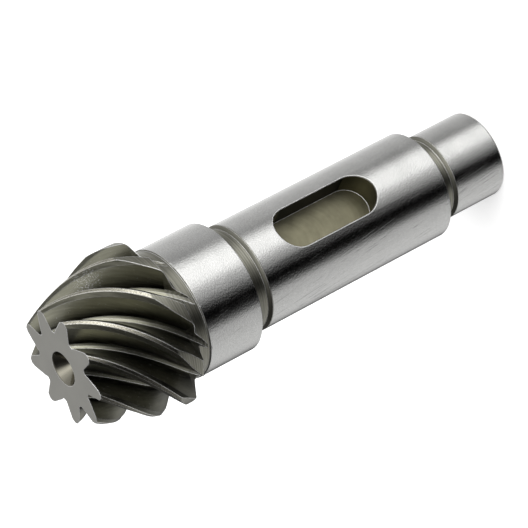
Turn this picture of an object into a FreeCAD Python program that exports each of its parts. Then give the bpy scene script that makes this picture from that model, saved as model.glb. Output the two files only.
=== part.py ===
# Shaft pinion of a small right-angle gearbox: a spiral bevel pinion and its shaft, turned,
# cut and ground from one steel bar. The shaft axis is Z, the toothed head is at the top and
# the origin is the middle of the flat end face at the bottom. Lengths are in millimetres.
import FreeCAD, Part
import math
import os

from FreeCAD import Vector

# Shaft diameters, from the head down: bearing seat, gear seat with the keyway, end journal.
bearing_seat_d = 12.0
gear_seat_d = 10.0
end_journal_d = 8.0

# Lengths along the shaft, from the head down.
head_length = 9.1
neck_length = 1.75
bearing_seat_length = 5.7
front_relief_length = 1.8
gear_seat_length = 20.15
rear_relief_length = 1.6
end_journal_length = 5.45

# Relief grooves that let the grinding wheel run out beside each smaller seat.
relief_depth = 0.25
relief_ramp_angle = 40.0

# Edge breaks of the ground seats and of the end face.
seat_edge_break = 0.12
end_face_chamfer = 0.15

# The neck between the head and the bearing seat is left as turned. It tapers from the head
# to a little under the seat, so that the grinding wheel runs out clear of it.
neck_undersize = 0.1
neck_taper = 0.07
neck_corner_break = 0.2

# Head blank: a face cone from the toe to a turned outside diameter, then a steep back cone.
head_d = 15.0
toe_tip_d = 10.6
face_angle = 17.8
back_angle = 19.0
head_corner_break = 0.12

# Tooth gaps on a right-hand spiral, deeper and wider towards the heel.
tooth_count = 9
toe_root_d = 6.9
root_angle = 13.0
mean_spiral_angle = 42.0
spiral_opening = 0.05
first_gap_angle = 30.9

# Gap outline across the axis. Heights run from 0 at the root cone to 1 at the face cone, and
# widths are shares of the tooth pitch, measured from the middle of the root to each side.
# The root is rounded by facets. A steep flank and a leaning one rise from it, each ending
# in a crest break that opens the gap a little more.
knee_height = 0.05
corner_height = 0.15
break_height = 0.86
floor_share = 0.05
steep_knee_share = 0.125
steep_corner_share = 0.16
steep_break_share = 0.305
lean_corner_share = 0.115
lean_break_share = 0.415
crest_break_share = 0.09

# The gap cutter starts above the toe face, runs on past the bearing seat, and is drawn through
# this many outlines. It ends outside the face cone, at these heights, at its sides and middle.
cutter_lead = 0.8
cutter_overrun = 1.0
cutter_outlines = 8
cutter_side_height = 1.06
cutter_middle_height = 1.35

# Centre hole in the toe face, on which the bar turns while it is ground: a cone with its mouth
# broken, over a blind pilot hole with a drill point.
centre_hole_d = 3.1
centre_cone_angle = 60.0
centre_hole_chamfer = 0.07
pilot_hole_d = 1.5
pilot_hole_depth = 5.5
drill_point_angle = 118.0

# Keyway in the gear seat, cut with an end mill, facing the front of the part.
keyway_width = 4.0
keyway_length = 10.5
keyway_depth = 2.6
keyway_offset = 3.1
keyway_edge_break = 0.08

# Radii and heights that follow from the sizes above.
bearing_r = bearing_seat_d / 2
gear_r = gear_seat_d / 2
journal_r = end_journal_d / 2
head_r = head_d / 2
neck_r = bearing_r - neck_undersize
neck_foot_r = neck_r + neck_taper
journal_top = end_journal_length
gear_bottom = journal_top + rear_relief_length
gear_top = gear_bottom + gear_seat_length
bearing_bottom = gear_top + front_relief_length
bearing_top = bearing_bottom + bearing_seat_length
head_bottom = bearing_top + neck_length
toe_height = head_bottom + head_length
back_slope = math.tan(math.radians(back_angle))
neck_top = head_bottom - (head_r - neck_foot_r) * back_slope
gap_pitch = 360.0 / tooth_count


def polar(radius, angle, z):
    turn = math.radians(angle)
    return Vector(radius * math.cos(turn), radius * math.sin(turn), z)


def revolved(profile):
    # The profile is drawn in the half plane at the front and turned about the shaft axis.
    points = [Vector(0, -r, z) for r, z in profile]
    face = Part.Face(Part.makePolygon(points + points[:1]))
    return face.revolve(Vector(0, 0, 0), Vector(0, 0, 1), 360)


def seat_profile(seat_r, bottom, top):
    # A ground seat, with its edge broken at the bottom and its top running on.
    return [(seat_r - seat_edge_break, bottom), (seat_r, bottom + seat_edge_break), (seat_r, top)]


def relief_profile(seat_r, seat_top, shoulder):
    # A ramp down from the seat to the groove floor, which runs up to the next shoulder.
    floor_r = seat_r - relief_depth
    ramp = relief_depth / math.tan(math.radians(relief_ramp_angle))
    return [(floor_r, seat_top + ramp), (floor_r, shoulder)]


def blank():
    cone_length = (head_r - toe_tip_d / 2) / math.tan(math.radians(face_angle))
    profile = [(0, 0), (journal_r - end_face_chamfer, 0), (journal_r, end_face_chamfer)]
    profile += [(journal_r, journal_top)]
    profile += relief_profile(journal_r, journal_top, gear_bottom)
    profile += seat_profile(gear_r, gear_bottom, gear_top)
    profile += relief_profile(gear_r, gear_top, bearing_bottom)
    profile += seat_profile(bearing_r, bearing_bottom, bearing_top - neck_undersize)
    profile += [(neck_r, bearing_top), (neck_foot_r, neck_top - neck_corner_break)]
    profile += [(neck_foot_r + neck_corner_break, neck_top + neck_corner_break * back_slope)]
    profile += [(head_r - head_corner_break, head_bottom), (head_r, head_bottom + head_corner_break)]
    profile += [(head_r, toe_height - cone_length), (toe_tip_d / 2, toe_height), (0, toe_height)]
    return revolved(profile)


def twist(depth):
    # Angle that the spiral has turned at this depth below the toe face.
    middle = head_length / 2
    pitch_angle = math.radians((face_angle + root_angle) / 2)
    middle_r = (toe_tip_d + toe_root_d) / 4 + middle * math.tan(pitch_angle)
    slope = math.tan(math.radians(mean_spiral_angle)) / (middle_r * math.cos(pitch_angle))
    return math.degrees(slope) * depth + spiral_opening * depth * (depth - 2 * middle)


def gap_point(depth, height, share):
    # A point of the gap outline: its height is 0 at the root cone and 1 at the face cone.
    root_r = toe_root_d / 2 + depth * math.tan(math.radians(root_angle))
    face_r = toe_tip_d / 2 + depth * math.tan(math.radians(face_angle))
    angle = share * gap_pitch - twist(depth)
    return polar(root_r + height * (face_r - root_r), angle, toe_height - depth)


def gap_outline(depth):
    # Round the gap from the steep side over the root to the leaning side, then closed by an
    # arch outside the face cone.
    rise = (cutter_side_height - break_height) / (1 - break_height)
    spread = crest_break_share * rise
    middle = (steep_break_share - lean_break_share) / 2
    points = [
        gap_point(depth, cutter_side_height, steep_break_share + spread),
        gap_point(depth, break_height, steep_break_share),
        gap_point(depth, corner_height, steep_corner_share),
        gap_point(depth, knee_height, steep_knee_share),
        gap_point(depth, 0, floor_share),
        gap_point(depth, 0, -floor_share),
        gap_point(depth, corner_height, -lean_corner_share),
        gap_point(depth, break_height, -lean_break_share),
        gap_point(depth, cutter_side_height, -lean_break_share - spread),
    ]
    edges = [Part.makeLine(start, end) for start, end in zip(points, points[1:])]
    arch = Part.BezierCurve()
    arch.setPoles([points[-1], gap_point(depth, cutter_middle_height, middle), points[0]])
    return Part.Wire(edges + [arch.toShape()])


def gap_cutter():
    # From above the toe face down to where the root cone has left the bearing seat.
    root_run = (bearing_r - toe_root_d / 2) / math.tan(math.radians(root_angle))
    step = (cutter_lead + root_run + cutter_overrun) / (cutter_outlines - 1)
    outlines = [gap_outline(step * i - cutter_lead) for i in range(cutter_outlines)]
    return Part.makeLoft(outlines, True, False)


def centre_hole():
    # A cone over a pilot hole, carried a little past the toe face to cut clear.
    clear = 1.0
    mouth_r = centre_hole_d / 2
    pilot_r = pilot_hole_d / 2
    floor = toe_height - pilot_hole_depth
    point = pilot_r / math.tan(math.radians(drill_point_angle / 2))
    cone_top = toe_height - centre_hole_chamfer
    cone = (mouth_r - pilot_r) / math.tan(math.radians(centre_cone_angle / 2))
    profile = [
        (0, floor - point),
        (pilot_r, floor),
        (pilot_r, cone_top - cone),
        (mouth_r, cone_top),
        (mouth_r + centre_hole_chamfer, toe_height),
        (mouth_r + centre_hole_chamfer, toe_height + clear),
        (0, toe_height + clear),
    ]
    return revolved(profile)


def keyway():
    # A round-ended slot from its floor outwards, past the seat.
    half = keyway_width / 2
    top = gear_top - keyway_offset
    upper = top - half
    lower = top - keyway_length + half
    y = -(gear_r - keyway_depth)
    outline = [
        Part.LineSegment(Vector(half, y, lower), Vector(half, y, upper)),
        Part.Arc(Vector(half, y, upper), Vector(0, y, top), Vector(-half, y, upper)),
        Part.LineSegment(Vector(-half, y, upper), Vector(-half, y, lower)),
        Part.Arc(Vector(-half, y, lower), Vector(0, y, lower - half), Vector(half, y, lower)),
    ]
    wire = Part.Wire([piece.toShape() for piece in outline])
    return Part.Face(wire).extrude(Vector(0, -gear_r, 0))


def keyway_rim(shape):
    # The edges that the keyway leaves in the round surface of the gear seat.
    rim = []
    for edge in shape.Edges:
        middle = edge.valueAt((edge.FirstParameter + edge.LastParameter) / 2)
        on_seat = abs(math.hypot(middle.x, middle.y) - gear_r) < 0.001
        if on_seat and middle.y < 0 and abs(middle.x) < keyway_width / 2 + 0.001:
            rim.append(edge)
    return rim


def pinion_shaft():
    shape = blank().cut(keyway())
    shape = shape.makeChamfer(keyway_edge_break, keyway_rim(shape))
    shape = shape.cut(centre_hole())
    cutter = gap_cutter()
    cutter.rotate(Vector(0, 0, 0), Vector(0, 0, 1), first_gap_angle)
    cutters = []
    for i in range(tooth_count):
        copy = cutter.copy()
        copy.rotate(Vector(0, 0, 0), Vector(0, 0, 1), i * gap_pitch)
        cutters.append(copy)
    return shape.cut(cutters)


os.makedirs("parts", exist_ok=True)
shaft = pinion_shaft()
print("solids", len(shaft.Solids), "valid", shaft.isValid(), "volume", round(shaft.Volume, 1))
shaft.exportStep("parts/pinion_shaft.step")
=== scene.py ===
import bpy
import math

from mathutils import Matrix

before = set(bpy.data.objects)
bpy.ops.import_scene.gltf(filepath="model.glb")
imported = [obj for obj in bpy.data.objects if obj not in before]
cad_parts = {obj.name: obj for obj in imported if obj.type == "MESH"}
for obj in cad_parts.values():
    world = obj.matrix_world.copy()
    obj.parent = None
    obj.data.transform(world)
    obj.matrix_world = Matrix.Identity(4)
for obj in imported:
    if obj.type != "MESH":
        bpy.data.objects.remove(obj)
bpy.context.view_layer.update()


# The pinion shaft: one bar of case-hardened steel with no coating. The seats are ground
# bright, the neck and grooves are turned, the teeth are cut and the keyway is milled. It is
# the CAD node with its own mesh, and the zones below say where each finish lies.

def linear(colour):
    """An sRGB hex colour as linear red, green, blue and alpha."""
    parts = [int(colour[i:i + 2], 16) / 255 for i in (1, 3, 5)]
    return [p / 12.92 if p <= 0.04045 else ((p + 0.055) / 1.055) ** 2.4 for p in parts] + [1]


def add(tree, kind, inputs, out=0, **settings):
    """Adds a node with these settings, feeds its inputs and returns one of its outputs."""
    made = tree.nodes.new("ShaderNode" + kind)
    for name, value in settings.items():
        setattr(made, name, value)
    for name, value in inputs.items():
        if isinstance(value, bpy.types.NodeSocket):
            tree.links.new(value, made.inputs[name])
        else:
            made.inputs[name].default_value = value
    return made.outputs[out]


steel = bpy.data.materials.new("ground_and_machined_steel")
steel.use_nodes = True
tree = steel.node_tree
tree.nodes.clear()

# Places on the part in millimetres, and two other ways to say where a point is: wrapped, by
# the way outwards from the axis and the height, and straight, with the spiral turned back.
# The teeth turn 9.05 degrees a millimetre below the toe face, and 0.05 more for each square.
toe_height = 45.55
spiral_rate = math.radians(9.05)
spiral_opening = math.radians(0.05)
place = add(tree, "TexCoord", {}, out=3)
place = add(tree, "VectorMath", {0: place, "Scale": 1000.0}, operation="SCALE")
side, front, height = add(tree, "SeparateXYZ", {0: place}).node.outputs
flat = add(tree, "CombineXYZ", {0: side, 1: front})
radius = add(tree, "VectorMath", {0: flat}, out=1, operation="LENGTH")
around = add(tree, "VectorMath", {0: flat}, operation="NORMALIZE")
upward = add(tree, "CombineXYZ", {2: height})
wrapped = add(tree, "VectorMath", {0: around, 1: upward}, operation="ADD")
depth = add(tree, "Math", {0: toe_height, 1: height}, operation="SUBTRACT")
rate = add(tree, "Math", {0: depth, 1: spiral_opening, 2: spiral_rate}, operation="MULTIPLY_ADD")
spiral = add(tree, "Math", {0: depth, 1: rate}, operation="MULTIPLY")
straight = add(tree, "VectorRotate", {"Vector": place, "Angle": spiral}, rotation_type="Z_AXIS")

# Leaning follows scratches that wind a little round the shaft as they climb, by this many
# radians a millimetre. Arcs follows an end mill as wide as the keyway, which moves along it.
scratch_lean = 0.03
mill_radius = 2.0
lean = add(tree, "Math", {0: height, 1: scratch_lean}, operation="MULTIPLY")
leaning = add(tree, "VectorRotate", {"Vector": wrapped, "Angle": lean}, rotation_type="Z_AXIS")
arc = add(tree, "Math", {0: side, 1: side}, operation="MULTIPLY")
arc = add(tree, "Math", {0: mill_radius ** 2, 1: arc}, operation="SUBTRACT")
arc = add(tree, "Math", {0: arc}, operation="SQRT")
arc = add(tree, "Math", {0: height, 1: arc}, operation="ADD")
arcs = add(tree, "CombineXYZ", {0: side, 2: arc})

# A zone is 1 where its finish lies and 0 elsewhere. A point this near a surface is taken to
# be on it, and one more than a skin inside a surface is taken to be below it.
near = 0.03
skin = 0.04

# Ground: the three seats, each given by the middle of its height, half its length and its
# radius, without the grooves, the edge breaks and the keyway.
gear_seat_radius = 5.0
ground = 0.0
for middle, half, seat_radius in (
    (31.8, 2.8, 6.0),
    (17.12, 10.0, gear_seat_radius),
    (2.75, 2.65, 4.0),
):
    level = add(tree, "Math", {0: height, 1: middle, 2: half}, operation="COMPARE")
    outside = add(tree, "Math", {0: radius, 1: seat_radius, 2: near}, operation="COMPARE")
    ground = add(tree, "Math", {0: level, 1: outside, 2: ground}, operation="MULTIPLY_ADD")

# Cut: anywhere on the head below the surface of its blank, which is a face cone and then a
# cylinder. It takes in the tooth gaps, the toe face and the centre hole.
head_foot = 36.5
head_radius = 7.5
toe_tip_radius = 5.3
face_slope = math.tan(math.radians(17.8))
cone = add(tree, "Math", {0: depth, 1: face_slope, 2: toe_tip_radius - skin},
           operation="MULTIPLY_ADD")
blank = add(tree, "Math", {0: cone, 1: head_radius - skin}, operation="MINIMUM")
inside = add(tree, "Math", {0: radius, 1: blank}, operation="LESS_THAN")
in_head = add(tree, "Math", {0: height, 1: head_foot}, operation="GREATER_THAN")
cut = add(tree, "Math", {0: inside, 1: in_head}, operation="MULTIPLY")

# The flat toe face, the centre hole in it, and the keyway with its side walls.
toe_skin = 0.01
centre_hole_reach = 1.6
keyway_middle = 18.85
keyway_half_length = 5.3
keyway_half_width = 2.0
toe = add(tree, "Math", {0: depth, 1: toe_skin}, operation="LESS_THAN")
near_axis = add(tree, "Math", {0: radius, 1: centre_hole_reach}, operation="LESS_THAN")
centre = add(tree, "Math", {0: near_axis, 1: in_head}, operation="MULTIPLY")
in_slot = add(tree, "Math", {0: height, 1: keyway_middle, 2: keyway_half_length},
              operation="COMPARE")
under = add(tree, "Math", {0: radius, 1: gear_seat_radius - skin}, operation="LESS_THAN")
keyway = add(tree, "Math", {0: in_slot, 1: under}, operation="MULTIPLY")
sideways = add(tree, "Math", {0: side}, operation="ABSOLUTE")
at_wall = add(tree, "Math", {0: sideways, 1: keyway_half_width, 2: near}, operation="COMPARE")
painted_shade_keyway_wall = add(tree, "Math", {0: keyway, 1: at_wall}, operation="MULTIPLY")

# Crest: the narrow land on each tooth, on the face cone, which is given by the middle and
# half of its depth. Gap: the flanks and the root between two teeth. Turned: whatever is left.
face_cone_middle = 3.4
face_cone_half = 3.38
on_cone = add(tree, "Math", {0: depth, 1: face_cone_middle, 2: face_cone_half},
              operation="COMPARE")
off_cut = add(tree, "Math", {0: on_cone, 1: cut}, operation="SUBTRACT")
crest = add(tree, "Math", {0: off_cut, 1: centre}, operation="SUBTRACT", use_clamp=True)
gap = cut
for zone in (toe, centre):
    gap = add(tree, "Math", {0: gap, 1: zone}, operation="SUBTRACT", use_clamp=True)
turned = 1.0
for zone in (ground, cut, keyway, toe, crest):
    turned = add(tree, "Math", {0: turned, 1: zone}, operation="SUBTRACT", use_clamp=True)

# How far up a flank a point is: 0 at the root of the tooth gap and 1 at the crest.
toe_root_radius = 3.45
root_slope = math.tan(math.radians(13))
root = add(tree, "Math", {0: depth, 1: root_slope, 2: toe_root_radius}, operation="MULTIPLY_ADD")
rise = add(tree, "MapRange", {"Value": radius, "From Min": root, "From Max": cone})

# Each finish has a colour and a roughness. What none of the zones covers is turned steel, a
# dull warm grey. The cutter leaves the gaps darker, the crests beside them are smoother and
# painted paler, partly their own finish and partly a painted highlight, the toe face is a pale
# matt grey, the centre hole is glossy, the keyway is browner, its walls are painted near black
# as painted shade in the recess, and the ground seats are the brightest.
colour = linear("#838278")
rough = 0.30
for zone, tone, roughness in (
    (cut, "#7C7B6E", 0.28),
    # The crests are painted paler than the other turned steel: partly their own finish, partly a
    # painted highlight.
    (crest, "#AAA79A", 0.20),
    (toe, "#B4B3AD", 0.42),
    (centre, "#89867A", 0.12),
    (keyway, "#75725F", 0.40),
    # Painted shade: the keyway's side walls are painted near black.
    (painted_shade_keyway_wall, "#0E0D0A", 0.30),
    (ground, "#C5C5C3", 0.15),
):
    colour = add(tree, "Mix", {0: zone, 6: colour, 7: linear(tone)}, out=2, data_type="RGBA")
    rough = add(tree, "Mix", {0: zone, 2: rough, 3: roughness}, data_type="FLOAT")

# The marks of each tool are noise, stretched the way they run. The three numbers say how many
# fit in a millimetre, or in the radius for the first two of a wrapped or leaning place, and
# the last one is how much fine detail there is. Real grinding scratches are a few hundredths
# of a millimetre wide. They are drawn 0.1 wide and 0.15 long, as coarse as they need to be to
# show as a silky grain.
marks = {}
for name, space, count, detail in (
    ("grinding", wrapped, (34.0, 34.0, 11.0), 2.0),
    ("turning", wrapped, (0.4, 0.4, 6.5), 2.0),
    ("milling", arcs, (0.3, 1.0, 3.0), 3.0),
    ("cutting", straight, (5.0, 5.0, 0.5), 3.0),
    ("scratches", leaning, (40.0, 40.0, 0.12), 1.0),
    ("nicks", place, (11.0, 11.0, 11.0), 2.0),
    ("cloud", place, (0.5, 0.5, 0.5), 5.0),
):
    where = add(tree, "VectorMath", {0: space, 1: count}, operation="MULTIPLY")
    marks[name] = add(tree, "TexNoise", {"Vector": where, "Scale": 1.0, "Detail": detail})

# Turning leaves a fine thread of feed marks, drawn this far apart so that it shows.
feed_pitch = 0.22
feed = add(tree, "Math", {0: height, 1: radius}, operation="ADD")
feed = add(tree, "Math", {0: feed, 1: 2 * math.pi / feed_pitch}, operation="MULTIPLY")
feed = add(tree, "Math", {0: feed}, operation="SINE")
feed = add(tree, "Math", {0: feed, 1: turned}, operation="MULTIPLY")

# Scratches run along the seats in patches, on the side that the shaft has lain on.
lain_side = (-0.94, -0.34, 0)
scratch = add(tree, "MapRange", {"Value": marks["scratches"], "From Min": 0.60, "From Max": 0.66})
patch = add(tree, "MapRange", {"Value": marks["cloud"], "From Min": 0.46, "From Max": 0.54})
lain_on = add(tree, "VectorMath", {0: around, 1: lain_side}, out=1, operation="DOT_PRODUCT")
lain_on = add(tree, "MapRange", {"Value": lain_on, "From Min": 0.75, "From Max": 0.92})
for limit in (patch, lain_on, ground):
    scratch = add(tree, "Math", {0: scratch, 1: limit}, operation="MULTIPLY")

# Nicks are rare specks in the tooth gaps, and a crowd of them where one tooth was knocked.
knock_place = (4.7, -4.0, 41.0)
knock_crowding = 0.14
knock = add(tree, "VectorMath", {0: place, 1: knock_place}, out=1, operation="DISTANCE")
knock = add(tree, "MapRange", {"Value": knock, "From Min": 1.9, "From Max": 0.9})
nick = add(tree, "Math", {0: knock, 1: knock_crowding, 2: marks["nicks"]},
           operation="MULTIPLY_ADD")
nick = add(tree, "MapRange", {"Value": nick, "From Min": 0.72, "From Max": 0.78})
nick = add(tree, "Math", {0: nick, 1: gap}, operation="MULTIPLY")

# Edges: the corners are rounded by a tenth of a millimetre and catch the light. They are also
# painted white, partly as wear and partly as a painted highlight, and the nicks are painted white
# too.
edge_radius = 0.0001
worn_rough = 0.5
rounded = add(tree, "Bevel", {"Radius": edge_radius}, samples=8)
true_normal = add(tree, "NewGeometry", {}, out=3)
agree = add(tree, "VectorMath", {0: rounded, 1: true_normal}, out=1, operation="DOT_PRODUCT")
painted_highlight_edge = add(tree, "MapRange", {"Value": agree, "From Min": 0.985, "From Max": 0.94})
worn_and_painted_highlight = add(tree, "Math", {0: painted_highlight_edge, 1: nick}, operation="MAXIMUM")
# Painted highlight: the rounded edges, and the nicks, are mixed towards white.
colour = add(tree, "Mix", {0: worn_and_painted_highlight, 6: colour, 7: linear("#FFFFFF")}, out=2, data_type="RGBA")
rough = add(tree, "Mix", {0: worn_and_painted_highlight, 2: rough, 3: worn_rough}, data_type="FLOAT")

# Cloudy variation of shade and gloss.
cloud_shade = 0.3
cloud_rough = 0.10
darkest_shade = 0.85
tone_and_painted_shade = add(tree, "Math", {0: marks["cloud"], 1: cloud_shade, 2: darkest_shade},
            operation="MULTIPLY_ADD")
rough = add(tree, "Math", {0: marks["cloud"], 1: cloud_rough, 2: rough}, operation="MULTIPLY_ADD")

# A real flank curves in towards the root and mirrors less light low down. The solid's flanks
# are straight, so this is painted into the colour instead: painted shade, dark at the foot and
# lighter towards the crest, a painted highlight on the floor of the gap, and painted shade on a
# break just under the crest.
painted_flank_shade = add(tree, "MapRange", {"Value": rise, "From Min": 0.12, "From Max": 0.62,
                               "To Min": 0.15, "To Max": 1.5})
painted_gap_floor_highlight = add(tree, "MapRange", {"Value": rise, "From Min": 0.02, "From Max": 0.07,
                                   "To Min": 1.4, "To Max": 0.0})
painted_crest_break_shade = add(tree, "MapRange", {"Value": rise, "From Min": 0.84, "From Max": 0.88,
                                     "To Min": 1.0, "To Max": 0.4})
painted_flank_shade = add(tree, "Math", {0: painted_flank_shade, 1: painted_gap_floor_highlight}, operation="MAXIMUM")
painted_flank_shade = add(tree, "Math", {0: painted_flank_shade, 1: painted_crest_break_shade}, operation="MULTIPLY")
painted_flank_shade = add(tree, "Mix", {0: gap, 2: 1.0, 3: painted_flank_shade}, data_type="FLOAT")
tone_and_painted_shade = add(tree, "Math", {0: tone_and_painted_shade, 1: painted_flank_shade}, operation="MULTIPLY")

# Each mark changes the shade by its contrast, and the relief by its depth in thousandths of a
# millimetre, in its own zone. A noise is taken from its middle, so it goes both ways.
feed_contrast = 0.12
feed_microns = 4.0
tone_and_painted_shade = add(tree, "Math", {0: feed, 1: feed_contrast, 2: tone_and_painted_shade}, operation="MULTIPLY_ADD")
relief = add(tree, "Math", {0: feed, 1: feed_microns}, operation="MULTIPLY")
for name, zone, contrast, microns in (
    ("grinding", ground, 0.4, 14.0),
    ("turning", turned, 0.8, 15.0),
    ("cutting", gap, 0.8, 8.0),
    ("milling", keyway, 0.35, 5.0),
    ("cloud", keyway, 1.0, 5.0),
    ("nicks", crest, 2.2, 14.0),
):
    change = add(tree, "Math", {0: marks[name], 1: 0.5}, operation="SUBTRACT")
    change = add(tree, "Math", {0: change, 1: zone}, operation="MULTIPLY")
    tone_and_painted_shade = add(tree, "Math", {0: change, 1: contrast, 2: tone_and_painted_shade}, operation="MULTIPLY_ADD")
    relief = add(tree, "Math", {0: change, 1: microns, 2: relief}, operation="MULTIPLY_ADD")

# Scratches are darker and a little lower than the steel round them, and nicks are pits.
scratch_contrast = -0.2
tone_and_painted_shade = add(tree, "Math", {0: scratch, 1: scratch_contrast, 2: tone_and_painted_shade}, operation="MULTIPLY_ADD")
for mark, microns in ((scratch, -4.0), (nick, -20.0)):
    relief = add(tree, "Math", {0: mark, 1: microns, 2: relief}, operation="MULTIPLY_ADD")
micron = 0.000001
# The colour is multiplied by the tone: its cloud and tool marks, and the painted shade and painted
# highlight of the gap flanks.
colour = add(tree, "Mix", {0: 1.0, 6: colour, 7: tone_and_painted_shade}, out=2, data_type="RGBA",
             blend_type="MULTIPLY")
normal = add(tree, "Bump", {"Height": relief, "Distance": micron, "Normal": rounded})

# Ground steel mirrors sharply round the shaft and softly along it.
quarter_turn = 0.25
tangent = add(tree, "Tangent", {}, direction_type="RADIAL", axis="Z")
shader = add(tree, "BsdfPrincipled", {
    "Base Color": colour,
    "Metallic": 1.0,
    "Roughness": rough,
    "Anisotropic": ground,
    "Anisotropic Rotation": quarter_turn,
    "Tangent": tangent,
    "Normal": normal,
})
output = tree.nodes.new("ShaderNodeOutputMaterial")
tree.links.new(shader, output.inputs["Surface"])

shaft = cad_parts["pinion_shaft"]
shaft.data.materials.clear()
shaft.data.materials.append(steel)


# The table: a pale sheet under the part, 4 m square. It takes the part's shadow, and its
# faint glow to the camera keeps it white. The metal does not mirror it.

table_reach = 2
table_glow = 0.55
floor_mesh = bpy.data.meshes.new("floor")
corners = [(x * table_reach, y * table_reach, 0) for x, y in ((-1, -1), (1, -1), (1, 1), (-1, 1))]
floor_mesh.from_pydata(corners, [], [(0, 1, 2, 3)])
floor = bpy.data.objects.new("floor", floor_mesh)
bpy.context.scene.collection.objects.link(floor)
floor.visible_glossy = False

card = bpy.data.materials.new("white_card")
card.use_nodes = True
tree = card.node_tree
tree.nodes.clear()
seen = add(tree, "LightPath", {})
glow = add(tree, "Math", {0: seen, 1: table_glow}, operation="MULTIPLY")
glow = add(tree, "Emission", {"Strength": glow})
diffuse = add(tree, "BsdfDiffuse", {"Color": linear("#E7E7E7")})
both = add(tree, "AddShader", {0: diffuse, 1: glow})
output = tree.nodes.new("ShaderNodeOutputMaterial")
tree.links.new(both, output.inputs["Surface"])
floor_mesh.materials.append(card)


# The light: a tent round the part with white cards, a bright panel and a black flag, which
# light it and which the metal mirrors. Only the camera sees a white background in its place.

# Each ring gives the height that it is at and its brightness all round, by the angle from
# the camera, both in degrees. Between two stops and two rings the light changes evenly.
rings = (
    (-58, ((-180, 0.3), (-160, 0.35), (-140, 0.3), (-115, 0.15), (-80, 0.05), (-50, 0.0),
           (-10, 0.0), (0, 0.02), (60, 0.08), (110, 0.15), (140, 0.25), (180, 0.3))),
    (-28, ((-180, 0.0), (-164, 0.0), (-154, 0.35), (-144, 0.8), (-128, 1.05), (-100, 1.15),
           (-68, 1.02), (-60, 0.8), (-54, 0.25), (-46, 0.05), (-38, 0.0), (-24, 0.0), (-14, 0.25),
           (-4, 0.6), (12, 1.1), (20, 1.45), (28, 1.75), (52, 1.75), (60, 1.5), (68, 0.9),
           (76, 0.36), (84, 0.52), (108, 0.75), (132, 0.87), (148, 1.15), (180, 1.5))),
    (-2, ((-180, 0.2), (-150, 0.1), (-110, 0.06), (-60, 0.0), (-16, 0.0), (0, 0.1), (12, 0.7),
          (22, 2.6), (46, 3.0), (60, 1.4), (76, 0.6), (130, 0.6), (180, 0.5))),
    (30, ((-180, 0.75), (-155, 0.25), (-120, 0.06), (-50, 0.02), (-28, 0.02), (-16, 0.5),
          (0, 1.6), (16, 2.2), (30, 2.0), (48, 1.2), (90, 0.75), (135, 0.55), (180, 0.75))),
    (60, ((-180, 0.5), (-110, 0.4), (-50, 0.5), (0, 0.8), (60, 0.7), (120, 0.5), (180, 0.5))),
)
brightest = 3.0
camera_turn = math.radians(110.3)
world = bpy.data.worlds.new("light_tent")
bpy.context.scene.world = world
world.use_nodes = True
tree = world.node_tree
tree.nodes.clear()
toward = add(tree, "TexCoord", {})
toward = add(tree, "VectorRotate", {"Vector": toward, "Angle": camera_turn}, rotation_type="Z_AXIS")
ahead, aside, above = add(tree, "SeparateXYZ", {0: toward}).node.outputs
angle = add(tree, "Math", {0: aside, 1: ahead}, operation="ARCTAN2")
share = add(tree, "MapRange", {"Value": angle, "From Min": -math.pi, "From Max": math.pi})
elevation = add(tree, "Math", {0: above}, operation="ARCSINE")
light = [0, 0, 0, 1]
lower_ring = -90
for ring_height, stops in rings:
    ring = add(tree, "ValToRGB", {0: share})
    elements = ring.node.color_ramp.elements
    elements.remove(elements[1])
    for degrees, strength in stops:
        stop = elements.new((degrees + 180) / 360)
        stop.color = [strength / brightest] * 3 + [1]
    elements.remove(elements[0])
    climb = add(tree, "MapRange", {
        "Value": elevation,
        "From Min": math.radians(lower_ring),
        "From Max": math.radians(ring_height),
    })
    light = add(tree, "Mix", {0: climb, 6: light, 7: ring}, out=2, data_type="RGBA")
    lower_ring = ring_height
seen = add(tree, "LightPath", {})
white = [1 / brightest] * 3 + [1]
light = add(tree, "Mix", {0: seen, 6: light, 7: white}, out=2, data_type="RGBA")
background = add(tree, "Background", {"Color": light, "Strength": brightest})
output = tree.nodes.new("ShaderNodeOutputWorld")
tree.links.new(background, output.inputs["Surface"])

# A soft lamp overhead, half a metre across, for the shadow on the table.
lamp_data = bpy.data.lights.new("overhead", "AREA")
lamp_data.shape = "DISK"
lamp_data.size = 0.5
lamp_data.energy = 4.0
lamp = bpy.data.objects.new("overhead", lamp_data)
lamp.location = (0.1, -0.2, 0.7)
lamp.visible_glossy = False
bpy.context.scene.collection.objects.link(lamp)


# The camera: a long lens at the photograph's angle, which looks down at the head from its
# lower left. It is given by its own three axes and its place, in metres.

camera_data = bpy.data.cameras.new("camera")
camera_data.lens = 227.27
camera_data.clip_start = 0.01
camera_data.clip_end = 10
camera = bpy.data.objects.new("camera", camera_data)
right = (-0.58035771, -0.233, -0.78031856)
up = (0.75488006, -0.51340125, -0.40813718)
back = (-0.30552033, -0.82591227, 0.47384278)
stance = Matrix([right, up, back]).transposed().to_4x4()
stance.translation = (-0.08775488, -0.23721838, 0.16026547)
camera.matrix_world = stance
bpy.context.scene.collection.objects.link(camera)
bpy.context.scene.camera = camera
bpy.context.scene.view_settings.view_transform = "Standard"
